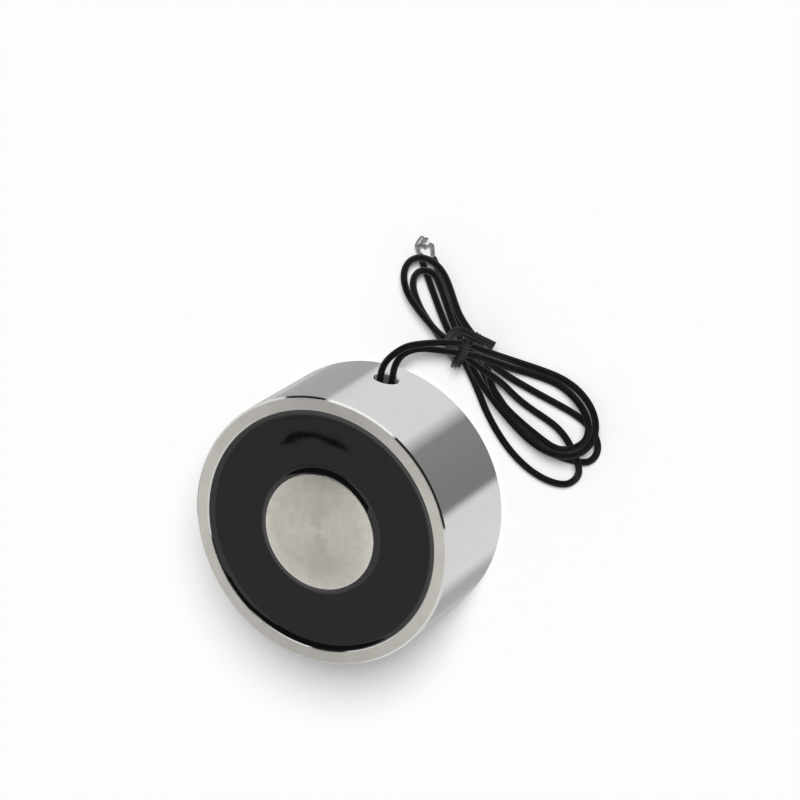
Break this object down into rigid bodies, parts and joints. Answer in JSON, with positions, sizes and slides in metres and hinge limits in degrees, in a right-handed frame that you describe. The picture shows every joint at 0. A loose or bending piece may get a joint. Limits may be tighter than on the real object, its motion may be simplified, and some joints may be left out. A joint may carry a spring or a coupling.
{
  "type": "lifting electromagnet",
  "caption": "Round pot-type lifting electromagnet: steel pot and core, resin-potted coil, tapped hole in the back, and black leads from the side in a tied hank.",
  "frame": {"origin": "centre of the pot's back face, which it stands on", "axes": "+Z from the back face to the holding face, +X through the lead outlet"},
  "size_m": [0.0986, 0.0845, 0.03],
  "materials": {
    "nickel_shell": "bright nickel plate on turned steel",
    "nickel_core": "nickel plate, fine turned face",
    "insulation_paper": "pressed insulating paper",
    "bobbin_nylon": "moulded nylon",
    "copper_winding": "enamelled copper wire",
    "winding_tape": "polyester tape",
    "magnet_wire": "enamelled copper wire",
    "solder": "bright solder",
    "splice_sleeve": "shrunk sleeve",
    "potting_resin": "glossy black epoxy",
    "lead_jacket": "soft black PVC, half gloss",
    "tinned_copper": "tinned copper strands",
    "tie_plastic": "black plastic over a wire core"
  },
  "bodies": {
    "root": {"pot_shell": "nickel_shell", "core": "nickel_core", "insulating_washer": "insulation_paper", "bobbin": "bobbin_nylon", "coil_winding": "copper_winding", "winding_tape": "winding_tape", "start_tail": "magnet_wire", "finish_tail": "magnet_wire", "solder_joint_a": "solder", "solder_joint_b": "solder", "splice_sleeve_a": "splice_sleeve", "splice_sleeve_b": "splice_sleeve", "potting_resin": "potting_resin", "lead_a": "lead_jacket", "lead_b": "lead_jacket", "lead_a_tip": "tinned_copper", "lead_b_tip": "tinned_copper", "twist_tie": "tie_plastic"}
  },
  "joints": []
}
